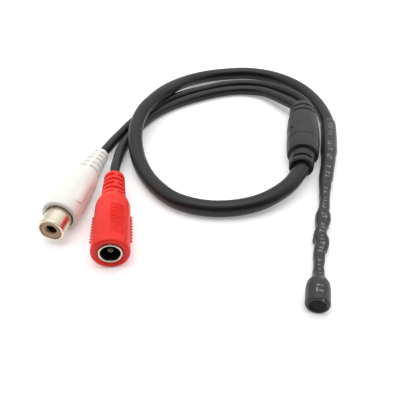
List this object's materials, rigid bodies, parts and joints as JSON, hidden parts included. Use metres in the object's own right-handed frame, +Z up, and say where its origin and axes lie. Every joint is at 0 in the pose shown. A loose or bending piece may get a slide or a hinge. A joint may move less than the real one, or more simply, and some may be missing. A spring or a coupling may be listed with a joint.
{
  "type": "miniature microphone with cable",
  "caption": "Miniature electret microphone in a heat-shrink sleeve, on a cable that a splitter divides into a white phono socket and a red power socket.",
  "frame": {"origin": "centre of the microphone head's footprint, on the surface that it lies on", "axes": "+Z up, the head lies along Y with its felt front towards -Y; the cable loops away to -X"},
  "size_m": [0.105, 0.1467, 0.0116],
  "materials": {
    "sleeve_black": "satin polyolefin, shrunk",
    "cable_black": "satin flexible PVC",
    "splitter_black": "matte moulded PVC",
    "felt_black": "fine felt",
    "white_pvc": "semi-gloss moulded PVC",
    "red_pvc": "semi-gloss moulded PVC",
    "nickel": "bright nickel plate",
    "can_aluminium": "satin",
    "brass": "plain",
    "insulator_tan": "satin",
    "liner_black": "satin",
    "holder_white": "satin",
    "film": "clear polyester",
    "board_green": "solder mask",
    "component_black": "moulded epoxy",
    "component_tan": "dipped epoxy",
    "wire_red": "thin PVC insulation",
    "wire_yellow": "thin PVC insulation",
    "wire_copper": "tinned copper under insulation",
    "splice_tin": "tinned crimp",
    "mould_natural": "natural polyethylene",
    "spring_bronze": "rolled strip"
  },
  "bodies": {
    "root": {"heat_shrink_sleeve": "sleeve_black", "capsule_can": "can_aluminium", "capsule_felt": "felt_black", "capsule_diaphragm": "film", "capsule_spacer": "film", "capsule_backplate": "brass", "capsule_holder": "holder_white", "capsule_gate_ring": "brass", "capsule_board": "board_green", "capsule_transistor": "component_black", "capsule_wires": "wire_red", "preamp_board": "board_green", "preamp_transistor": "component_black", "preamp_capacitors": "component_tan", "preamp_resistors": "component_black", "cable_cores": "wire_yellow", "main_cable": "cable_black", "splitter_body": "splitter_black", "splitter_splices": "splice_tin", "rca_branch_cable": "cable_black", "rca_body": "white_pvc", "rca_inner_mould": "mould_natural", "rca_shell": "nickel", "rca_insulator": "insulator_tan", "rca_contact": "brass", "rca_core_wires": "wire_copper", "dc_branch_cable": "cable_black", "dc_body": "red_pvc", "dc_inner_mould": "mould_natural", "dc_shell": "nickel", "dc_liner": "liner_black", "dc_pin": "nickel", "dc_spring": "spring_bronze", "dc_core_wires": "wire_copper"}
  },
  "joints": []
}
